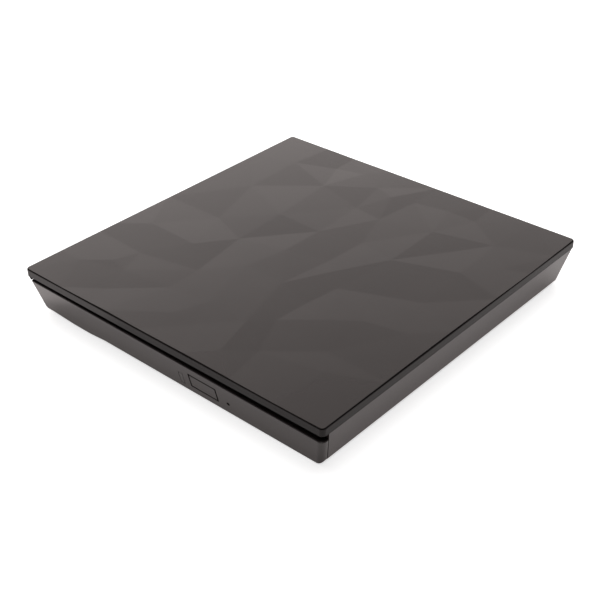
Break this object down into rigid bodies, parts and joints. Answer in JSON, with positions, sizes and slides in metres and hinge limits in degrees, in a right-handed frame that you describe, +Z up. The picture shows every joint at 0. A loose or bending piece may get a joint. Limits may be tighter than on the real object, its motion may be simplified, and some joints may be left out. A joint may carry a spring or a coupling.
{
  "type": "external dvd drive",
  "caption": "Slim external optical disc drive: drafted black case, faceted lid, sliding disc tray with eject button, and a spindle, pickup and rails inside.",
  "frame": {"origin": "middle of the footprint, on the table plane under the rubber feet", "axes": "+X right seen from the front, +Y to the back, +Z up; the tray opens towards -Y"},
  "size_m": [0.14, 0.1446, 0.0188],
  "materials": {
    "lid_plastic": "glossy black with low facets",
    "case_plastic": "glossy black",
    "bezel_plastic": "glossy black",
    "button_plastic": "glossy black",
    "light_window": "smoked clear plastic",
    "foot_rubber": "matt",
    "damper_rubber": "matt",
    "ring_rubber": "fine texture",
    "foam": "closed-cell foam",
    "tray_plastic": "fine texture",
    "inner_plastic": "fine texture",
    "pale_plastic": "smooth",
    "steel_sheet": "zinc-plated sheet",
    "screw_steel": "plated",
    "rod_steel": "polished",
    "frame_metal": "pressed sheet",
    "cover_metal": "black coated sheet",
    "motor_metal": "machined",
    "copper": "enamelled copper wire",
    "magnet": "sintered ring",
    "pickup_metal": "die cast",
    "board_green": "solder mask",
    "chip_black": "moulded chip",
    "cable_film": "flat cable film",
    "led_lens": "clear lamp",
    "lens_glass": "coated lens"
  },
  "bodies": {
    "case": {"top_cover": "lid_plastic", "bottom_case": "case_plastic", "rubber_feet": "foot_rubber", "case_screws": "screw_steel", "drive_screws": "screw_steel", "foam_pads": "foam", "bridge_board": "board_green", "bridge_screws": "screw_steel", "bridge_chips": "chip_black", "bridge_plug": "chip_black", "drive_socket": "chip_black", "usb_socket": "rod_steel", "usb_tongue": "chip_black", "drive_pan": "steel_sheet", "drive_plate": "steel_sheet", "plate_screws": "screw_steel", "striker_post": "rod_steel", "main_board": "board_green", "main_board_chips": "chip_black", "cable_socket": "pale_plastic", "flat_cable": "cable_film", "guide_left": "inner_plastic", "guide_right": "inner_plastic"},
    "rail_left": {"rail_left": "rod_steel"},
    "rail_right": {"rail_right": "rod_steel"},
    "tray": {"tray": "tray_plastic", "tray_bezel": "bezel_plastic", "light_pipe": "light_window", "switch_board": "board_green", "switch_pads": "inner_plastic", "eject_switch": "chip_black", "status_led": "led_lens", "latch_pivot": "rod_steel", "latch_solenoid": "copper", "traverse_frame": "frame_metal", "guide_rods": "rod_steel", "dampers": "damper_rubber", "mechanism_cover": "cover_metal", "cover_screws": "screw_steel", "base_cover": "steel_sheet", "spindle_stator": "copper", "feed_motor": "motor_metal"},
    "button": {"eject_button": "button_plastic"},
    "latch": {"latch_lever": "pale_plastic"},
    "rotor": {"turntable": "motor_metal", "rotor_magnet": "magnet", "turntable_ring": "ring_rubber"},
    "pawl_1": {"hub_pawl_1": "pale_plastic"},
    "pawl_2": {"hub_pawl_2": "pale_plastic"},
    "pawl_3": {"hub_pawl_3": "pale_plastic"},
    "pickup": {"pickup": "pickup_metal", "screw_follower": "rod_steel", "actuator_cover": "frame_metal"},
    "lens": {"lens_holder": "inner_plastic", "objective_lens": "lens_glass"},
    "feed_screw": {"feed_screw": "rod_steel"}
  },
  "joints": [
    {"name": "tray_slide", "type": "slide", "parent": "case", "child": "tray", "axis": [0, -1, 0], "range_m": [0, 0.128]},
    {"name": "rail_left_slide", "type": "slide", "parent": "case", "child": "rail_left", "axis": [0, -1, 0], "range_m": [0, 0.064]},
    {"name": "rail_right_slide", "type": "slide", "parent": "case", "child": "rail_right", "axis": [0, -1, 0], "range_m": [0, 0.064]},
    {"name": "eject_press", "type": "slide", "parent": "tray", "child": "button", "axis": [0, 1, 0], "range_m": [0, 0.0005], "stiffness_N_per_m": 1500},
    {"name": "latch_swing", "type": "hinge", "parent": "tray", "child": "latch", "pos_m": [0.0475, -0.057, 0.0051], "axis": [0, 0, 1], "range_deg": [-8, 0], "stiffness_Nm_per_rad": 0.02, "springref_deg": 1.72},
    {"name": "disc_spin", "type": "hinge", "parent": "tray", "child": "rotor", "pos_m": [0, -0.005, 0.0084], "axis": [0, 0, 1], "continuous": true},
    {"name": "pickup_slide", "type": "slide", "parent": "tray", "child": "pickup", "axis": [-0.7071, -0.7071, 0], "range_m": [0, 0.0345]},
    {"name": "feed_screw_turn", "type": "hinge", "parent": "tray", "child": "feed_screw", "pos_m": [0.01103, -0.01603, 0.006], "axis": [-0.7071, -0.7071, 0], "range_deg": [-1, 4142]},
    {"name": "lens_focus", "type": "slide", "parent": "pickup", "child": "lens", "axis": [0, 0, 1], "range_m": [-0.00025, 0.00025], "stiffness_N_per_m": 60},
    {"name": "pawl_1_press", "type": "slide", "parent": "rotor", "child": "pawl_1", "axis": [0.7071, 0.7071, 0], "range_m": [0, 0.0004], "stiffness_N_per_m": 900},
    {"name": "pawl_2_press", "type": "slide", "parent": "rotor", "child": "pawl_2", "axis": [-0.9659, 0.2588, 0], "range_m": [0, 0.0004], "stiffness_N_per_m": 900},
    {"name": "pawl_3_press", "type": "slide", "parent": "rotor", "child": "pawl_3", "axis": [0.2588, -0.9659, 0], "range_m": [0, 0.0004], "stiffness_N_per_m": 900}
  ],
  "couplings": [
    {"joint": "rail_left_slide", "follows": "tray_slide", "ratio": 0.5},
    {"joint": "rail_right_slide", "follows": "tray_slide", "ratio": 0.5},
    {"joint": "feed_screw_turn", "follows": "pickup_slide", "rad_per_m": 2094.4}
  ]
}
